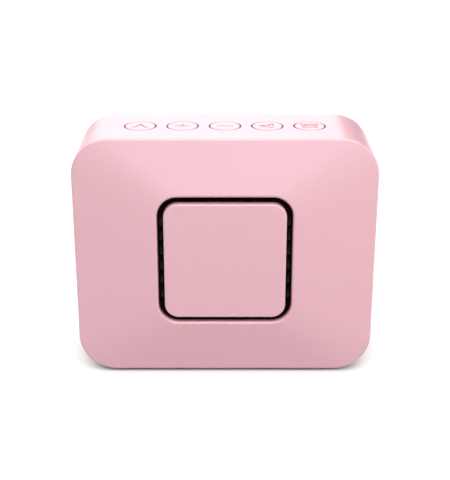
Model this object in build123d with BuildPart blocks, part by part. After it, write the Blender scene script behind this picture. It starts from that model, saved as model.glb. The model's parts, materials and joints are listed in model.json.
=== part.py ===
from build123d import *

import os
from math import radians, tan

os.makedirs("parts", exist_ok=True)

# A small waterproof loudspeaker for a bathroom shelf: a rounded plastic box with a shallow
# bevelled front, a square face panel that floats in a dark sound slot, and five keys on top.
#
# Frame: X to the right, Y from the front to the back, Z up. The origin is the middle of the
# footprint, on the surface that the feet stand on. All sizes are in millimetres.

# ---------------------------------------------------------------- driving dimensions
BODY_W = 88.0
BODY_H = 73.0
BAND_D = 27.0
CORNER_R = 11.1
WALL = 2.8
RIM_FILLET = 0.7
REAR_FILLET = 1.0

FOOT_PROUD = 0.8
FOOT_SUNK = 0.7
FOOT_R = 4.0
FOOT_FILLET = 0.3
FOOT_GAP = 0.1

BEVEL_RISE = 2.0
PANEL_PROUD = 0.6
OPENING = 39.2
OPENING_R = 5.9
LIP_FILLET = 0.65
LIP_LAND = 0.85
PANEL = 35.6
PANEL_R = 4.1
PANEL_FILLET = 0.45
SLOT_DEPTH = 1.7

BUTTON_COUNT = 5
BUTTON_PITCH = 12.37
BUTTON_SETBACK = 13.5
BUTTON_HOLE_R = 4.75
BUTTON_R = 4.38
BUTTON_TRAVEL = 0.35
ICON_DEPTH = 0.2
ICON_LINE = 0.55

COVER_T = 2.2
COVER_GAP = 0.15
COVER_STEP = 1.4
SKIRT_D = 3.6
SKIRT_T = 1.8
SKIRT_GAP = 0.2

SCREW_SHANK_R = 0.98
SCREW_PILOT_R = 1.0
SCREW_CLEAR_R = 1.15
SCREW_HEAD_R = 1.9
SCREW_HEAD_H = 1.2
SCREW_CROSS = (2.4, 0.5)
SCREW_CROSS_DEPTH = 0.7
SHORT_SCREW = 5.0
LONG_SCREW = 9.0

BOARD_T = 1.2
LEAD_R = 0.5
CONE_TRAVEL = 1.0

# ---------------------------------------------------------------- derived places
DEPTH = BAND_D + BEVEL_RISE + PANEL_PROUD
REAR_Y = DEPTH / 2
RIM_Y = REAR_Y - BAND_D
LIP_Y = RIM_Y - BEVEL_RISE
PANEL_Y = LIP_Y - PANEL_PROUD
SLOT_FLOOR_Y = LIP_Y + SLOT_DEPTH
MID_Z = FOOT_PROUD + BODY_H / 2
TOP_Z = FOOT_PROUD + BODY_H

CAVITY_W = BODY_W - 2 * WALL
CAVITY_H = BODY_H - 2 * WALL
CAVITY_R = CORNER_R - WALL
CAVITY_TOP_Z = TOP_Z - WALL
CAVITY_FRONT_Y = RIM_Y + WALL
POCKET_Y = LIP_Y + WALL
POCKET = 50.0
POCKET_R = 8.0

COVER_IN_Y = REAR_Y - COVER_T
SKIRT_Y = COVER_IN_Y - SKIRT_D
BUTTON_Y = RIM_Y + BUTTON_SETBACK
BUTTON_X = [BUTTON_PITCH * (i - (BUTTON_COUNT - 1) / 2) for i in range(BUTTON_COUNT)]
BUTTON_NAMES = ["mode", "volume_up", "volume_down", "play", "call"]


def face_plane(y, x=0.0, z=MID_Z):
    """Upright plane that faces the front: local x is X, local y is Z, the normal is -Y."""
    return Plane(origin=(x, y, z), x_dir=(1, 0, 0), z_dir=(0, -1, 0))


def back_plane(y, x=0.0, z=MID_Z):
    """Upright plane that faces the back: local x is -X, local y is Z, the normal is +Y."""
    return Plane(origin=(x, y, z), x_dir=(-1, 0, 0), z_dir=(0, 1, 0))


def level_plane(z, x=0.0, y=0.0):
    """Level plane that faces up: local x is X, local y is Y."""
    return Plane(origin=(x, y, z), x_dir=(1, 0, 0), z_dir=(0, 0, 1))


def slab(width, height, radius, y_back, y_front, x=0.0, z=MID_Z, mode=Mode.ADD):
    """Upright slab with rounded corners between two depths."""
    with BuildSketch(face_plane(y_back, x, z)) as outline:
        RectangleRounded(width, height, radius)
    extrude(outline.sketch, amount=y_back - y_front, mode=mode)


def rod(radius, y_back, y_front, x=0.0, z=MID_Z, mode=Mode.ADD):
    """Round rod along Y between two depths."""
    with BuildSketch(face_plane(y_back, x, z)) as outline:
        Circle(radius)
    extrude(outline.sketch, amount=y_back - y_front, mode=mode)


def post(radius, z_low, z_high, x, y, mode=Mode.ADD):
    """Round upright post between two heights."""
    with BuildSketch(level_plane(z_low, x, y)) as outline:
        Circle(radius)
    extrude(outline.sketch, amount=z_high - z_low, mode=mode)


def block(low, high, mode=Mode.ADD):
    """Square-cornered block between two opposite corners."""
    size = [b - a for a, b in zip(low, high)]
    middle = ((low[0] + high[0]) / 2, (low[1] + high[1]) / 2)
    with BuildSketch(level_plane(low[2], *middle)) as outline:
        Rectangle(size[0], size[1])
    extrude(outline.sketch, amount=size[2], mode=mode)


def screw(seat, length):
    """Cross-head screw: the head stands on the seat plane, the shank goes the other way."""
    with BuildSketch(seat) as head:
        Circle(SCREW_HEAD_R)
    extrude(head.sketch, amount=SCREW_HEAD_H)
    with BuildSketch(seat) as shank:
        Circle(SCREW_SHANK_R)
    extrude(shank.sketch, amount=-length)
    with BuildSketch(seat.offset(SCREW_HEAD_H)) as cross:
        Rectangle(*SCREW_CROSS)
        Rectangle(*SCREW_CROSS[::-1])
    extrude(cross.sketch, amount=-SCREW_CROSS_DEPTH, mode=Mode.SUBTRACT)


# ---------------------------------------------------------------- fastening points
# The cover screws run from the back, in from each corner; offsets are from the body's middle.
COVER_SCREW_X = 35.6
COVER_SCREW_Z = 28.6
COVER_BOSS_R = 3.0
COVER_POST_R = 3.4
COVER_SEAT_Y = REAR_Y - 3.4
RIB_T = 1.2
BOSS_ROOT = 1.8
BOSS_ROOT_Y = CAVITY_FRONT_Y - BOSS_ROOT
PILOT_SPARE = 0.3
EDGE_FILLET = 0.15
CORNERS = [(sx, sz) for sx in (-1, 1) for sz in (-1, 1)]

DRIVER_SCREW = 20.4
DRIVER_BOSS_R = 2.2
DRIVER_FLANGE = 46.8
DRIVER_FRONT_Y = -8.6
DRIVER_FLANGE_T = 1.4

KEY_SCREW_X = 1.5 * BUTTON_PITCH
KEY_SCREW_Y = 5.6
KEY_BOSS_R = 1.9
KEY_BOARD_Z = 62.7
KEY_BOARD_TOP_Z = KEY_BOARD_Z + BOARD_T
KEY_DECK = (61.6, 16.8)
KEY_DECK_R = 2.0
KEY_SCREWS = [(sx * KEY_SCREW_X, BUTTON_Y + sy * KEY_SCREW_Y) for sx in (-1, 1) for sy in (-1, 1)]

MAIN_BOARD_Y = 4.6
MAIN_BOARD_BACK_Y = MAIN_BOARD_Y + BOARD_T
MAIN_BOARD_X = (22.0, 40.4)
MAIN_BOARD_HALF_H = 23.5
MAIN_SCREW_X = 37.4
MAIN_SCREW_Z = 19.5
MAIN_BOSS_R = 2.5

PORT_X = 31.2
PORT_Z = 24.3
LED_X = 27.2
MIC_X = 35.2
SIGNAL_Z = 34.0

FOOT_X = 30.0
FOOT_Y = (-5.2, 7.6)


# ---------------------------------------------------------------- housing
def bevelled_front():
    """Shallow bevel that rises from the rim to the lip of the square opening."""
    with BuildSketch(face_plane(RIM_Y)) as rim:
        RectangleRounded(BODY_W, BODY_H, CORNER_R)
    with BuildSketch(face_plane(LIP_Y)) as lip:
        RectangleRounded(OPENING + 2 * LIP_LAND, OPENING + 2 * LIP_LAND, OPENING_R + LIP_LAND)
    loft([rim.sketch.face(), lip.sketch.face()], ruled=True)


def hollow_front():
    """Hollow behind the bevel, so that the front wall keeps the same thickness."""
    with BuildSketch(face_plane(CAVITY_FRONT_Y)) as wide:
        RectangleRounded(CAVITY_W, CAVITY_H, CAVITY_R)
    with BuildSketch(face_plane(POCKET_Y)) as narrow:
        RectangleRounded(POCKET, POCKET, POCKET_R)
    loft([wide.sketch.face(), narrow.sketch.face()], ruled=True, mode=Mode.SUBTRACT)


def cover_bosses():
    """Four long bosses for the cover screws, each ribbed to the two nearest walls."""
    rib_back_y = SKIRT_Y - SKIRT_GAP
    rib_into_wall = 0.3
    for sx, sz in CORNERS:
        x = sx * COVER_SCREW_X
        z = MID_Z + sz * COVER_SCREW_Z
        rod(COVER_BOSS_R, SKIRT_Y, BOSS_ROOT_Y, x, z)
        side = sorted((x, sx * (CAVITY_W / 2 + rib_into_wall)))
        level = sorted((z, MID_Z + sz * (CAVITY_H / 2 + rib_into_wall)))
        block((side[0], BOSS_ROOT_Y, z - RIB_T / 2), (side[1], rib_back_y, z + RIB_T / 2))
        block((x - RIB_T / 2, BOSS_ROOT_Y, level[0]), (x + RIB_T / 2, rib_back_y, level[1]))
        rod(SCREW_PILOT_R, SKIRT_Y, COVER_SEAT_Y - LONG_SCREW - PILOT_SPARE, x, z, Mode.SUBTRACT)


with BuildPart() as front_housing:
    slab(BODY_W, BODY_H, CORNER_R, REAR_Y, RIM_Y)
    bevelled_front()
    fillet(front_housing.edges().filter_by_position(Axis.Y, RIM_Y - 0.01, RIM_Y + 0.01), RIM_FILLET)
    fillet(front_housing.edges().group_by(Axis.Y)[-1], REAR_FILLET)

    slab(CAVITY_W, CAVITY_H, CAVITY_R, REAR_Y, CAVITY_FRONT_Y, mode=Mode.SUBTRACT)
    hollow_front()
    slab(BODY_W - 2 * COVER_STEP, BODY_H - 2 * COVER_STEP, CORNER_R - COVER_STEP,
         REAR_Y, COVER_IN_Y, mode=Mode.SUBTRACT)

    slab(OPENING, OPENING, OPENING_R, POCKET_Y, LIP_Y, mode=Mode.SUBTRACT)
    land = front_housing.faces().sort_by(Axis.Y)[0]
    fillet(land.inner_wires()[0].edges(), LIP_FILLET)

    for x in BUTTON_X:
        post(BUTTON_HOLE_R, CAVITY_TOP_Z - 1, TOP_Z, x, BUTTON_Y, Mode.SUBTRACT)
    fillet(front_housing.edges().filter_by(GeomType.CIRCLE).group_by(Axis.Z)[-1], EDGE_FILLET)

    cover_bosses()
    for sx, sz in CORNERS:
        x = sx * DRIVER_SCREW
        z = MID_Z + sz * DRIVER_SCREW
        rod(DRIVER_BOSS_R, DRIVER_FRONT_Y, POCKET_Y - 0.6, x, z)
        pilot_end_y = DRIVER_FRONT_Y + DRIVER_FLANGE_T - SHORT_SCREW - PILOT_SPARE / 3
        rod(SCREW_PILOT_R, DRIVER_FRONT_Y, pilot_end_y, x, z, Mode.SUBTRACT)
    for sz in (-1, 1):
        z = MID_Z + sz * MAIN_SCREW_Z
        rod(MAIN_BOSS_R, MAIN_BOARD_Y, BOSS_ROOT_Y, MAIN_SCREW_X, z)
        pilot_end_y = MAIN_BOARD_BACK_Y - SHORT_SCREW - PILOT_SPARE
        rod(SCREW_PILOT_R, MAIN_BOARD_Y, pilot_end_y, MAIN_SCREW_X, z, Mode.SUBTRACT)
    for x, y in KEY_SCREWS:
        post(KEY_BOSS_R, KEY_BOARD_TOP_Z, CAVITY_TOP_Z + 0.5, x, y)
        pilot_end_z = KEY_BOARD_Z + SHORT_SCREW + PILOT_SPARE
        post(SCREW_PILOT_R, KEY_BOARD_TOP_Z, pilot_end_z, x, y, Mode.SUBTRACT)
    for x in (-FOOT_X, FOOT_X):
        for y in FOOT_Y:
            post(FOOT_R + FOOT_GAP, FOOT_PROUD, FOOT_PROUD + FOOT_SUNK, x, y, Mode.SUBTRACT)
front_housing.part.label = "front_housing"
export_step(front_housing.part, "parts/front_housing.step")


# ---------------------------------------------------------------- rear cover, seal, screws
SKIRT_W = CAVITY_W - 2 * SKIRT_GAP
SKIRT_H = CAVITY_H - 2 * SKIRT_GAP
SKIRT_R = CAVITY_R - SKIRT_GAP
SEAL_IN = 0.8
SEAL_Y = (SKIRT_Y + 1.0, SKIRT_Y + 2.6)
POCKET_DEPTH = 1.3
FLAP_W = 12.8
FLAP_H = 7.6
FLAP_R = 1.8
FLAP_LOW_Z = PORT_Z - 3.6
FLAP_GAP = 0.2
TAB_W = 7.0
TAB_H = 2.3
PORT_MOUTH = (9.5, 3.8)
LIGHT_PIPE_R = 1.0
MIC_HOLE_R = 0.6
ANCHOR_R = 0.9
ANCHOR_Z = FLAP_LOW_Z - TAB_H / 2 - 0.1
TAB_R = 0.8
NAIL_SCOOP = (5.0, 3.2)
COVER_FILLET = 0.5
PUSH_FIT = 0.02


def ring_cut(outer_inset, inner_inset, y_back, y_front, mode):
    """Ring that follows the housing's outline, between two insets from the skirt's outside."""
    with BuildSketch(face_plane(y_back)) as ring:
        RectangleRounded(SKIRT_W - 2 * outer_inset, SKIRT_H - 2 * outer_inset, SKIRT_R - outer_inset)
        RectangleRounded(SKIRT_W - 2 * inner_inset, SKIRT_H - 2 * inner_inset, SKIRT_R - inner_inset,
                         mode=Mode.SUBTRACT)
    extrude(ring.sketch, amount=y_back - y_front, mode=mode)


with BuildPart() as rear_cover:
    edge = COVER_STEP + COVER_GAP
    slab(BODY_W - 2 * edge, BODY_H - 2 * edge, CORNER_R - edge, REAR_Y, COVER_IN_Y)
    fillet(rear_cover.edges().group_by(Axis.Y)[-1], COVER_FILLET)
    ring_cut(0, SKIRT_T, COVER_IN_Y, SKIRT_Y, Mode.ADD)
    for sx, sz in CORNERS:
        x = sx * COVER_SCREW_X
        z = MID_Z + sz * COVER_SCREW_Z
        rod(COVER_POST_R, COVER_IN_Y, SKIRT_Y, x, z)
        rod(SCREW_CLEAR_R, REAR_Y, SKIRT_Y, x, z, Mode.SUBTRACT)
        rod(SCREW_HEAD_R + 0.4, REAR_Y, COVER_SEAT_Y, x, z, Mode.SUBTRACT)
    ring_cut(-1, SEAL_IN, SEAL_Y[1], SEAL_Y[0], Mode.SUBTRACT)

    with BuildSketch(face_plane(REAR_Y, PORT_X, FLAP_LOW_Z)) as port_pocket:
        with Locations((0, FLAP_H / 2)):
            RectangleRounded(FLAP_W + 2 * FLAP_GAP, FLAP_H + 2 * FLAP_GAP, FLAP_R)
        with Locations((0, -TAB_H / 2)):
            RectangleRounded(TAB_W + 2 * FLAP_GAP, TAB_H + 2 * FLAP_GAP, TAB_R)
        with Locations((0, FLAP_H)):
            SlotOverall(*NAIL_SCOOP)
    extrude(port_pocket.sketch, amount=POCKET_DEPTH, mode=Mode.SUBTRACT)
    with BuildSketch(face_plane(REAR_Y, PORT_X, PORT_Z)) as port_mouth:
        SlotOverall(*PORT_MOUTH)
    extrude(port_mouth.sketch, amount=COVER_T + 1, mode=Mode.SUBTRACT)
    rod(ANCHOR_R + PUSH_FIT, REAR_Y, COVER_IN_Y - 1, PORT_X, ANCHOR_Z, Mode.SUBTRACT)
    rod(LIGHT_PIPE_R + PUSH_FIT, REAR_Y, COVER_IN_Y - 1, LED_X, SIGNAL_Z, Mode.SUBTRACT)
    rod(MIC_HOLE_R, REAR_Y, COVER_IN_Y - 1, MIC_X, SIGNAL_Z, Mode.SUBTRACT)
rear_cover.part.label = "rear_cover"
export_step(rear_cover.part, "parts/rear_cover.step")

with BuildPart() as housing_seal:
    ring_cut(-SKIRT_GAP, SEAL_IN, SEAL_Y[1], SEAL_Y[0], Mode.ADD)
housing_seal.part.label = "housing_seal"
export_step(housing_seal.part, "parts/housing_seal.step")

with BuildPart() as cover_screws:
    for sx, sz in CORNERS:
        screw(back_plane(COVER_SEAT_Y, sx * COVER_SCREW_X, MID_Z + sz * COVER_SCREW_Z), LONG_SCREW)
cover_screws.part.label = "cover_screws"
export_step(cover_screws.part, "parts/cover_screws.step")

with BuildPart() as inner_screws:
    for sx, sz in CORNERS:
        screw(back_plane(DRIVER_FRONT_Y + DRIVER_FLANGE_T, sx * DRIVER_SCREW, MID_Z + sz * DRIVER_SCREW),
              SHORT_SCREW)
    for sz in (-1, 1):
        screw(back_plane(MAIN_BOARD_BACK_Y, MAIN_SCREW_X, MID_Z + sz * MAIN_SCREW_Z), SHORT_SCREW)
    for x, y in KEY_SCREWS:
        under_board = Plane(origin=(x, y, KEY_BOARD_Z), x_dir=(1, 0, 0), z_dir=(0, 0, -1))
        screw(under_board, SHORT_SCREW)
inner_screws.part.label = "inner_screws"
export_step(inner_screws.part, "parts/inner_screws.step")


# ---------------------------------------------------------------- face panel and sound slot
PLATE_BACK_Y = POCKET_Y + 1.2
PLATE_HOLLOW_Y = POCKET_Y + 0.1
PLATE_FLANGE = 42.0
PLATE_FLANGE_R = 9.0
MESH_T = 0.2
STAKE = 11.0
STAKE_R = 1.0
STAKE_HEAD_R = 1.7
STAKE_HEAD_T = 0.5
PLATE_HOLLOW = 33.0
PLATE_HOLLOW_R = 4.0
PLATE_GAP = 0.15
MESH = 41.6
MESH_R = 8.8
SOUND_SLOT = (3.6, 1.0)
SLOTS_A_SIDE = 6
SLOT_PITCH = 4.6
SLOT_LINE = (OPENING + PANEL) / 4

with BuildPart() as face_panel:
    slab(PANEL, PANEL, PANEL_R, SLOT_FLOOR_Y, PANEL_Y)
    fillet(face_panel.edges().group_by(Axis.Y)[0], PANEL_FILLET)
    for sx, sz in CORNERS:
        x = sx * STAKE
        z = MID_Z + sz * STAKE
        rod(STAKE_R, PLATE_HOLLOW_Y, SLOT_FLOOR_Y, x, z)
        rod(STAKE_HEAD_R, PLATE_HOLLOW_Y + STAKE_HEAD_T, PLATE_HOLLOW_Y, x, z)
face_panel.part.label = "face_panel"
export_step(face_panel.part, "parts/face_panel.step")

with BuildPart() as grille_plate:
    slab(PLATE_FLANGE, PLATE_FLANGE, PLATE_FLANGE_R, PLATE_BACK_Y, POCKET_Y)
    slab(OPENING - 2 * PLATE_GAP, OPENING - 2 * PLATE_GAP, OPENING_R - PLATE_GAP, POCKET_Y, SLOT_FLOOR_Y)
    slab(PLATE_HOLLOW, PLATE_HOLLOW, PLATE_HOLLOW_R, PLATE_BACK_Y, PLATE_HOLLOW_Y, mode=Mode.SUBTRACT)
    for sx, sz in CORNERS:
        rod(STAKE_R, PLATE_BACK_Y, SLOT_FLOOR_Y, sx * STAKE, MID_Z + sz * STAKE, Mode.SUBTRACT)
    with BuildSketch(face_plane(PLATE_BACK_Y)) as sound_slots:
        for quarter in range(4):
            with Locations(Location((0, 0, 0), (0, 0, 90 * quarter))):
                with Locations((0, SLOT_LINE)):
                    with GridLocations(SLOT_PITCH, 1, SLOTS_A_SIDE, 1):
                        SlotOverall(*SOUND_SLOT)
    extrude(sound_slots.sketch, amount=PLATE_BACK_Y - SLOT_FLOOR_Y, mode=Mode.SUBTRACT)
grille_plate.part.label = "grille_plate"
export_step(grille_plate.part, "parts/grille_plate.step")

with BuildPart() as acoustic_mesh:
    slab(MESH, MESH, MESH_R, PLATE_BACK_Y + MESH_T, PLATE_BACK_Y)
    slab(PLATE_HOLLOW, PLATE_HOLLOW, PLATE_HOLLOW_R, PLATE_BACK_Y + MESH_T, PLATE_BACK_Y,
         mode=Mode.SUBTRACT)
acoustic_mesh.part.label = "acoustic_mesh"
export_step(acoustic_mesh.part, "parts/acoustic_mesh.step")

with BuildPart() as driver_gasket:
    slab(PLATE_FLANGE, PLATE_FLANGE, PLATE_FLANGE_R, DRIVER_FRONT_Y, PLATE_BACK_Y + MESH_T)
    slab(OPENING, OPENING, OPENING_R, DRIVER_FRONT_Y, PLATE_BACK_Y + MESH_T, mode=Mode.SUBTRACT)
driver_gasket.part.label = "driver_gasket"
export_step(driver_gasket.part, "parts/driver_gasket.step")


# ---------------------------------------------------------------- loudspeaker driver
# Its axis runs along Y through the middle of the face; sections are (depth, radius) pairs.
DRIVER_AXIS = Axis(origin=(0, 0, MID_Z), direction=(0, 1, 0))
DRIVER_SECTION = Plane(origin=(0, 0, MID_Z), x_dir=(0, 1, 0), z_dir=(1, 0, 0))
SURROUND_Y = -7.7
SURROUND_T = 0.4
SURROUND_R = 19.4
SURROUND_SEAT_R = 19.5
BASKET_MOUTH_R = 18.6
BASKET_OUT_R = 20.4
BASKET_BACK_R = 15.8
BASKET_HOLE_R = 8.0
BASKET_T = 0.8
FLANGE_R = 4.0
WINDOW = (9.0, 3.8, 11.0)
WINDOW_Y = -4.4
WINDOW_AT_R = 17.0
ROLL_IN_R = 15.9
ROLL_OUT_R = 18.5
CONE_LIP_R = 14.9
CONE_NECK_Y = -3.2
CAP_TOP_Y = -6.0
CAP_DOME_R = 13.6
CAP_T = 0.3
CONE_T = 0.4
COIL_IN_R = 6.4
COIL_R = 6.6
WINDING_R = 6.85
WINDING_Y = (0.2, 3.5)
COIL_BACK_Y = 3.8
SPIDER_Y = -1.9
SPIDER_T = 0.3
SPIDER_ROLLS = 5
SPIDER_ROLL_W = 1.4
SPIDER_IN_R = 7.2
SPIDER_R = 15.8
SPIDER_SHELF_R = (14.6, 16.0)
BASKET_BACK_Y = 0.8
PLATE_T = 2.0
MAGNET_T = 4.0
YOKE_T = 1.8
YOKE_R = 13.6
PLATE_R = 12.5
MAGNET_R = 14.5
MAGNET_HOLE_R = 8.5
MAGNET_FILLET = 0.4
POLE_R = 6.1
VENT_R = 1.5
GAP_R = 7.15


def turned(points, mode=Mode.ADD):
    """Solid of revolution about the driver's axis."""
    with BuildSketch(DRIVER_SECTION) as section:
        with BuildLine():
            Polyline(*points, close=True)
        make_face()
    revolve(section.sketch, axis=DRIVER_AXIS, mode=mode)


def washer(y_front, thickness, outer_r, inner_r):
    """Flat ring on the driver's axis."""
    y_back = y_front + thickness
    turned([(y_front, inner_r), (y_front, outer_r), (y_back, outer_r), (y_back, inner_r)])


with BuildPart() as driver_basket:
    flange_back_y = DRIVER_FRONT_Y + DRIVER_FLANGE_T
    slab(DRIVER_FLANGE, DRIVER_FLANGE, FLANGE_R, flange_back_y, DRIVER_FRONT_Y)
    rod(BASKET_MOUTH_R, flange_back_y, DRIVER_FRONT_Y, mode=Mode.SUBTRACT)
    rod(SURROUND_SEAT_R, SURROUND_Y, DRIVER_FRONT_Y, mode=Mode.SUBTRACT)
    rim_y = SURROUND_Y + 0.2
    floor_y = BASKET_BACK_Y - BASKET_T
    shelf_y = SPIDER_Y + SPIDER_T / 2
    turned([(rim_y, BASKET_MOUTH_R), (rim_y, BASKET_OUT_R), (flange_back_y, BASKET_OUT_R - 0.2),
            (BASKET_BACK_Y, BASKET_BACK_R), (BASKET_BACK_Y, BASKET_HOLE_R), (floor_y, BASKET_HOLE_R),
            (floor_y, SPIDER_SHELF_R[0]), (shelf_y, SPIDER_SHELF_R[0]), (shelf_y, SPIDER_SHELF_R[1]),
            (flange_back_y + 0.2, BASKET_MOUTH_R)])
    with Locations([Location((0, WINDOW_Y, MID_Z), (0, 45 + 90 * i, 0)) for i in range(4)]):
        with Locations((WINDOW_AT_R, 0, 0)):
            Box(*WINDOW, mode=Mode.SUBTRACT)
    for sx, sz in CORNERS:
        rod(SCREW_CLEAR_R, flange_back_y, DRIVER_FRONT_Y, sx * DRIVER_SCREW, MID_Z + sz * DRIVER_SCREW,
            Mode.SUBTRACT)
driver_basket.part.label = "driver_basket"
export_step(driver_basket.part, "parts/driver_basket.step")

with BuildPart() as driver_surround:
    surround_mid_y = SURROUND_Y - SURROUND_T / 2
    roll_y = surround_mid_y - (ROLL_OUT_R - ROLL_IN_R) / 2
    with BuildSketch(DRIVER_SECTION) as surround_section:
        with BuildLine():
            Line((surround_mid_y, SURROUND_R), (surround_mid_y, ROLL_OUT_R))
            ThreePointArc((surround_mid_y, ROLL_OUT_R), (roll_y, (ROLL_OUT_R + ROLL_IN_R) / 2),
                          (surround_mid_y, ROLL_IN_R))
            Line((surround_mid_y, ROLL_IN_R), (surround_mid_y, CONE_LIP_R))
        trace(line_width=SURROUND_T)
    revolve(axis=DRIVER_AXIS)
driver_surround.part.label = "driver_surround"
export_step(driver_surround.part, "parts/driver_surround.step")

with BuildPart() as driver_cone:
    lip_back_y = SURROUND_Y + CONE_T
    turned([(SURROUND_Y, ROLL_IN_R), (lip_back_y, ROLL_IN_R), (lip_back_y, CONE_LIP_R + CONE_T),
            (CONE_NECK_Y + 1.5 * CONE_T, COIL_R), (CONE_NECK_Y, COIL_R), (SURROUND_Y, CONE_LIP_R)])
driver_cone.part.label = "driver_cone"
export_step(driver_cone.part, "parts/driver_cone.step")

with BuildPart() as dust_cap:
    with Locations((0, CAP_TOP_Y + CAP_DOME_R, MID_Z)):
        Sphere(CAP_DOME_R)
        Sphere(CAP_DOME_R - CAP_T, mode=Mode.SUBTRACT)
    behind_dome_y = CAP_TOP_Y + 2 * CAP_DOME_R + 1
    turned([(CONE_NECK_Y, 0), (CONE_NECK_Y, COIL_R), (SURROUND_Y, CONE_LIP_R), (behind_dome_y, CONE_LIP_R),
            (behind_dome_y, 0)], Mode.SUBTRACT)
dust_cap.part.label = "dust_cap"
export_step(dust_cap.part, "parts/dust_cap.step")

with BuildPart() as voice_coil:
    turned([(CONE_NECK_Y, COIL_IN_R), (CONE_NECK_Y, COIL_R), (WINDING_Y[0], COIL_R),
            (WINDING_Y[0], WINDING_R), (WINDING_Y[1], WINDING_R), (WINDING_Y[1], COIL_R),
            (COIL_BACK_Y, COIL_R), (COIL_BACK_Y, COIL_IN_R)])
voice_coil.part.label = "voice_coil"
export_step(voice_coil.part, "parts/voice_coil.step")

with BuildPart() as spider:
    spider_out_r = SPIDER_IN_R + SPIDER_ROLLS * SPIDER_ROLL_W
    with BuildSketch(DRIVER_SECTION) as spider_section:
        with BuildLine():
            Line((SPIDER_Y, COIL_R), (SPIDER_Y, SPIDER_IN_R))
            for roll in range(SPIDER_ROLLS):
                start_r = SPIDER_IN_R + roll * SPIDER_ROLL_W
                crest = SPIDER_Y + SPIDER_ROLL_W / 2 * (-1) ** roll
                ThreePointArc((SPIDER_Y, start_r), (crest, start_r + SPIDER_ROLL_W / 2),
                              (SPIDER_Y, start_r + SPIDER_ROLL_W))
            Line((SPIDER_Y, spider_out_r), (SPIDER_Y, SPIDER_R))
        trace(line_width=SPIDER_T)
    revolve(axis=DRIVER_AXIS)
spider.part.label = "spider"
export_step(spider.part, "parts/spider.step")

with BuildPart() as pole_plate:
    washer(BASKET_BACK_Y, PLATE_T, PLATE_R, GAP_R)
pole_plate.part.label = "pole_plate"
export_step(pole_plate.part, "parts/pole_plate.step")

with BuildPart() as magnet_ring:
    washer(BASKET_BACK_Y + PLATE_T, MAGNET_T, MAGNET_R, MAGNET_HOLE_R)
    rims = magnet_ring.edges().filter_by(GeomType.CIRCLE)
    fillet(rims.filter_by(lambda rim: rim.radius > MAGNET_R - 1), MAGNET_FILLET)
magnet_ring.part.label = "magnet_ring"
export_step(magnet_ring.part, "parts/magnet_ring.step")

with BuildPart() as magnet_yoke:
    yoke_y = BASKET_BACK_Y + PLATE_T + MAGNET_T
    washer(yoke_y, YOKE_T, YOKE_R, VENT_R)
    washer(BASKET_BACK_Y, yoke_y - BASKET_BACK_Y, POLE_R, VENT_R)
magnet_yoke.part.label = "magnet_yoke"
export_step(magnet_yoke.part, "parts/magnet_yoke.step")

# Terminal strip on the back of the basket: a small board with two solder tags.
TERMINAL_Z = 2.0
STRIP_BACK_Y = BASKET_BACK_Y + 0.8
STRIP_X = (12.8, 19.8)
STRIP_HALF_H = 4.0
TAG_X = (16.0, 20.4)
TAG_BACK_Y = STRIP_BACK_Y + 0.3
TAG_HALF_H = 0.8
with BuildPart() as driver_terminals:
    block((STRIP_X[0], BASKET_BACK_Y, MID_Z - STRIP_HALF_H),
          (STRIP_X[1], STRIP_BACK_Y, MID_Z + STRIP_HALF_H))
    for sz in (-1, 1):
        z = MID_Z + sz * TERMINAL_Z
        block((TAG_X[0], STRIP_BACK_Y, z - TAG_HALF_H), (TAG_X[1], TAG_BACK_Y, z + TAG_HALF_H))
driver_terminals.part.label = "driver_terminals"
export_step(driver_terminals.part, "parts/driver_terminals.step")


# ---------------------------------------------------------------- keys
BRACKET_TOP_Z = KEY_BOARD_TOP_Z + 3.8
SHEET_T = 0.8
SHEET_TOP_Z = BRACKET_TOP_Z + SHEET_T
PAD_R = 4.1
PAD_TOP_Z = SHEET_TOP_Z + 2.1
COLLAR_IN_R = 5.0
COLLAR_R = 6.0
NUB_R = 1.5
PLUNGER_TOP_Z = BRACKET_TOP_Z - 0.5
PLUNGER_R = 1.7
PLUNGER_GAP = 0.05
SWITCH_SIZE = 6.2
SWITCH_GAP = 0.7
SWITCH_TOP_Z = KEY_BOARD_TOP_Z + 2.7
PLUNGER_LOW_Z = KEY_BOARD_TOP_Z + 0.8


def stroke(*points):
    """Engraved line of the icons' line width through some points, with round ends."""
    with BuildLine() as path:
        Polyline(*points)
    trace(path.line, line_width=ICON_LINE)
    with Locations(*points):
        Circle(ICON_LINE / 2)


def icon(name):
    """Icon on a key, drawn about the key's middle, with its top towards the back."""
    if name == "mode":
        stroke((-2.3, -1.3), (-1.4, -1.3), (0, 1.6), (1.4, -1.3), (2.3, -1.3))
    elif name == "volume_up":
        stroke((-2.3, 0), (2.3, 0))
        stroke((0, -1.7), (0, 1.7))
    elif name == "volume_down":
        stroke((-2.3, 0), (2.3, 0))
    elif name == "play":
        stroke((1.6, 1.9), (1.6, -1.9), (-2.2, 0), (1.6, 1.9))
        stroke((0.5, 0.9), (0.5, -0.9))
    else:
        stroke((-2.3, 0.5), (-2.3, 1.7), (2.3, 1.7), (2.3, 0.5))
        stroke((-1.3, 0.5), (1.3, 0.5), (2.0, -1.7), (-2.0, -1.7), (-1.3, 0.5))


for name, x in zip(BUTTON_NAMES, BUTTON_X):
    with BuildPart() as button:
        post(BUTTON_R, PAD_TOP_Z, TOP_Z, x, BUTTON_Y)
        fillet(button.edges().group_by(Axis.Z)[-1], EDGE_FILLET)
        with BuildSketch(level_plane(TOP_Z, x, BUTTON_Y)) as engraving:
            icon(name)
        extrude(amount=-ICON_DEPTH, mode=Mode.SUBTRACT)
    button.part.label = f"button_{name}"
    export_step(button.part, f"parts/button_{name}.step")

    with BuildPart() as plunger:
        post(PLUNGER_R, PLUNGER_LOW_Z, PLUNGER_TOP_Z, x, BUTTON_Y)
    plunger.part.label = f"plunger_{name}"
    export_step(plunger.part, f"parts/plunger_{name}.step")

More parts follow.
